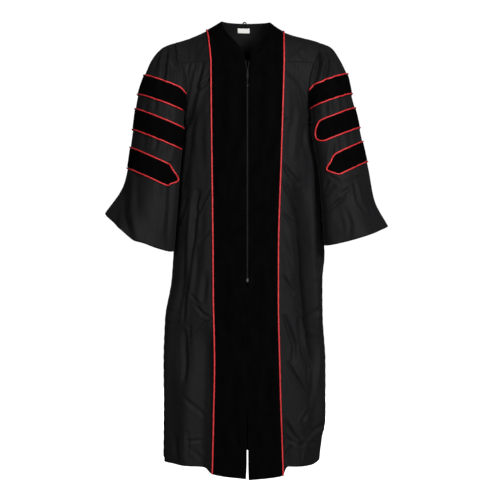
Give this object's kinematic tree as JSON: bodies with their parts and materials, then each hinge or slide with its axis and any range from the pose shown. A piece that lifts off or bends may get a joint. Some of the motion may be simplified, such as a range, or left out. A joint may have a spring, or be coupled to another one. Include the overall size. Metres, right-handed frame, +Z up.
{
  "type": "doctoral graduation gown",
  "caption": "Full-length black academic gown, filled out as worn: velvet front facings and sleeve bars edged with red piping, bell sleeves, zip front, yoked and fluted back.",
  "frame": {"origin": "on the shoulder line, midway between the shoulders, where the wearer carries the gown", "axes": "+Z up, -Y towards the front, +X towards the wearer's left"},
  "size_m": [0.8211, 0.3269, 1.3252],
  "materials": {
    "cloth": "black plain-weave polyester with a soft sheen",
    "velvet": "black cotton velvet, short pile",
    "piping": "red satin over a cord",
    "zip_tape": "black woven tape",
    "zip_teeth": "black nylon coil",
    "zip_metal": "black enamelled metal",
    "stop_metal": "satin",
    "label": "bare white woven tape"
  },
  "bodies": {
    "gown": {"back": "cloth", "bar_left_1": "velvet", "bar_left_2": "velvet", "bar_left_3": "velvet", "bar_piping_left_1": "piping", "bar_piping_left_2": "piping", "bar_piping_left_3": "piping", "bar_piping_right_1": "piping", "bar_piping_right_2": "piping", "bar_piping_right_3": "piping", "bar_right_1": "velvet", "bar_right_2": "velvet", "bar_right_3": "velvet", "front_left": "cloth", "front_right": "cloth", "label": "label", "neck_loop": "cloth", "piping_left": "piping", "piping_right": "piping", "sleeve_left": "cloth", "sleeve_right": "cloth", "velvet_left": "velvet", "velvet_right": "velvet", "yoke_back": "cloth", "yoke_front_left": "cloth", "yoke_front_right": "cloth", "zip_slider": "zip_metal", "zip_stop": "stop_metal", "zip_tape_left": "zip_tape", "zip_tape_right": "zip_tape", "zip_teeth_left": "zip_teeth", "zip_teeth_right": "zip_teeth"},
    "pull_tab": {"zip_pull_tab": "zip_metal"}
  },
  "joints": [
    {"name": "pull_tab_swing", "type": "hinge", "parent": "gown", "child": "pull_tab", "pos_m": [0, -0.10207, -0.12545], "axis": [-1, 0, 0], "range_deg": [0, 150]}
  ]
}
